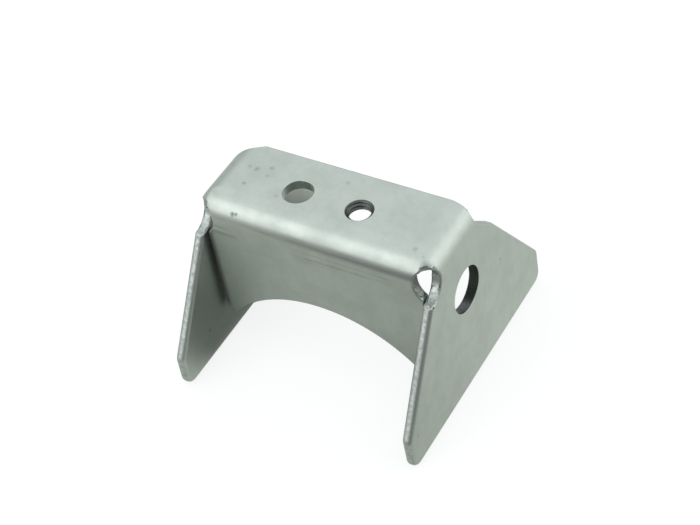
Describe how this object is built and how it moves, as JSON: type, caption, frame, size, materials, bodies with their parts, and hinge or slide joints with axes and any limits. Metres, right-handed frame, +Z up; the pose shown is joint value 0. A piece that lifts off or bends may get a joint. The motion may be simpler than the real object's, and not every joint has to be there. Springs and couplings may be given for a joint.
{
  "type": "stamped saddle bracket",
  "caption": "Sheet-steel bracket with a level top plate, an arched front web and a folded ear on each side, drilled for screws.",
  "frame": {"origin": "on the floor, at the middle of the ears' footprint", "axes": "+Z up through the top plate, +X across to the right ear, -Y out through the arched web"},
  "size_m": [0.062, 0.0624, 0.0451],
  "materials": {
    "bracket": "satin"
  },
  "bodies": {
    "root": {"bracket": "bracket"}
  },
  "joints": []
}
